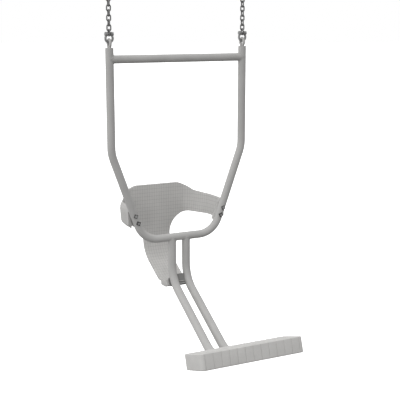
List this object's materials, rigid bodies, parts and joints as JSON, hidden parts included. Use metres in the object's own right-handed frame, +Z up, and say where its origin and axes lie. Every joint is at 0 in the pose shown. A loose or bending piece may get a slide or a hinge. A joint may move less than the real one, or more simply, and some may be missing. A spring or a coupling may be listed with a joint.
{
  "type": "face-to-face swing",
  "caption": "Bent-tube swing frame on two short chains, with a rubber bucket seat for a child and a flat seat for an adult facing it.",
  "frame": {"origin": "on the axis of the overhead beam, midway between the two hangers", "axes": "+X along the beam, +Y towards the child seat's back, +Z up; the adult seat reaches out along -Y"},
  "size_m": [0.6607, 0.9188, 1.6509],
  "materials": {
    "painted_tube": "satin",
    "galvanised_steel": "satin",
    "cast_hanger": "matte",
    "bronze": "satin",
    "zinc_fasteners": "satin",
    "insert_plate": "satin",
    "seat_rubber": "matte"
  },
  "bodies": {
    "hangers": {"left_clamp_cap": "cast_hanger", "right_clamp_cap": "cast_hanger", "left_clamp_base": "cast_hanger", "right_clamp_base": "cast_hanger", "clamp_bolts": "zinc_fasteners", "clamp_nuts": "zinc_fasteners", "pivot_bolts": "zinc_fasteners", "pivot_nuts": "zinc_fasteners"},
    "left_pendulum": {"left_pendulum": "cast_hanger", "left_pivot_bush": "bronze", "left_clevis_pin": "galvanised_steel", "left_clevis_nut": "galvanised_steel"},
    "right_pendulum": {"right_pendulum": "cast_hanger", "right_pivot_bush": "bronze", "right_clevis_pin": "galvanised_steel", "right_clevis_nut": "galvanised_steel"},
    "left_chain": {"left_link_01": "galvanised_steel", "left_link_02": "galvanised_steel", "left_link_03": "galvanised_steel", "left_link_04": "galvanised_steel", "left_link_05": "galvanised_steel", "left_link_06": "galvanised_steel", "left_link_07": "galvanised_steel", "left_link_08": "galvanised_steel", "left_link_09": "galvanised_steel", "left_link_10": "galvanised_steel"},
    "right_chain": {"right_link_01": "galvanised_steel", "right_link_02": "galvanised_steel", "right_link_03": "galvanised_steel", "right_link_04": "galvanised_steel", "right_link_05": "galvanised_steel", "right_link_06": "galvanised_steel", "right_link_07": "galvanised_steel", "right_link_08": "galvanised_steel", "right_link_09": "galvanised_steel", "right_link_10": "galvanised_steel"},
    "left_shackle": {"left_shackle_bow": "galvanised_steel", "left_shackle_pin": "galvanised_steel", "left_shackle_nut": "galvanised_steel"},
    "right_shackle": {"right_shackle_bow": "galvanised_steel", "right_shackle_pin": "galvanised_steel", "right_shackle_nut": "galvanised_steel"},
    "swing_frame": {"side_frame": "painted_tube", "crossbar": "painted_tube", "left_top_eye": "painted_tube", "right_top_eye": "painted_tube", "left_seat_tube": "painted_tube", "right_seat_tube": "painted_tube", "adult_seat_cover": "seat_rubber", "adult_seat_plate": "insert_plate", "adult_seat_bolts": "zinc_fasteners", "crotch_bracket": "painted_tube", "crotch_bolts": "zinc_fasteners", "crotch_nuts": "zinc_fasteners", "child_seat": "seat_rubber", "left_arm_plate": "insert_plate", "right_arm_plate": "insert_plate", "arm_bolts": "zinc_fasteners", "arm_nuts": "zinc_fasteners"}
  },
  "joints": [
    {"name": "swing", "type": "hinge", "parent": "hangers", "child": "left_pendulum", "pos_m": [-0.298, 0, -0.09], "axis": [1, 0, 0], "range_deg": [-60, 60]},
    {"name": "right_swing", "type": "hinge", "parent": "hangers", "child": "right_pendulum", "pos_m": [0.298, 0, -0.09], "axis": [1, 0, 0], "range_deg": [-60, 60]},
    {"name": "sway", "type": "hinge", "parent": "left_pendulum", "child": "left_chain", "pos_m": [-0.298, 0, -0.1633], "axis": [0, 1, 0], "range_deg": [-12, 12]},
    {"name": "right_sway", "type": "hinge", "parent": "right_pendulum", "child": "right_chain", "pos_m": [0.298, 0, -0.1633], "axis": [0, 1, 0], "range_deg": [-12, 12]},
    {"name": "left_shackle_tilt", "type": "hinge", "parent": "left_chain", "child": "left_shackle", "pos_m": [-0.298, 0, -0.35205], "axis": [0, 1, 0], "range_deg": [-12, 12]},
    {"name": "right_shackle_tilt", "type": "hinge", "parent": "right_chain", "child": "right_shackle", "pos_m": [0.298, 0, -0.35205], "axis": [0, 1, 0], "range_deg": [-12, 12]},
    {"name": "frame_pitch", "type": "hinge", "parent": "left_shackle", "child": "swing_frame", "pos_m": [-0.298, 0, -0.377], "axis": [1, 0, 0], "range_deg": [-35, 35]}
  ],
  "couplings": [
    {"joint": "right_swing", "follows": "swing", "ratio": 1},
    {"joint": "right_sway", "follows": "sway", "ratio": 1},
    {"joint": "left_shackle_tilt", "follows": "sway", "ratio": -1},
    {"joint": "right_shackle_tilt", "follows": "sway", "ratio": -1}
  ]
}
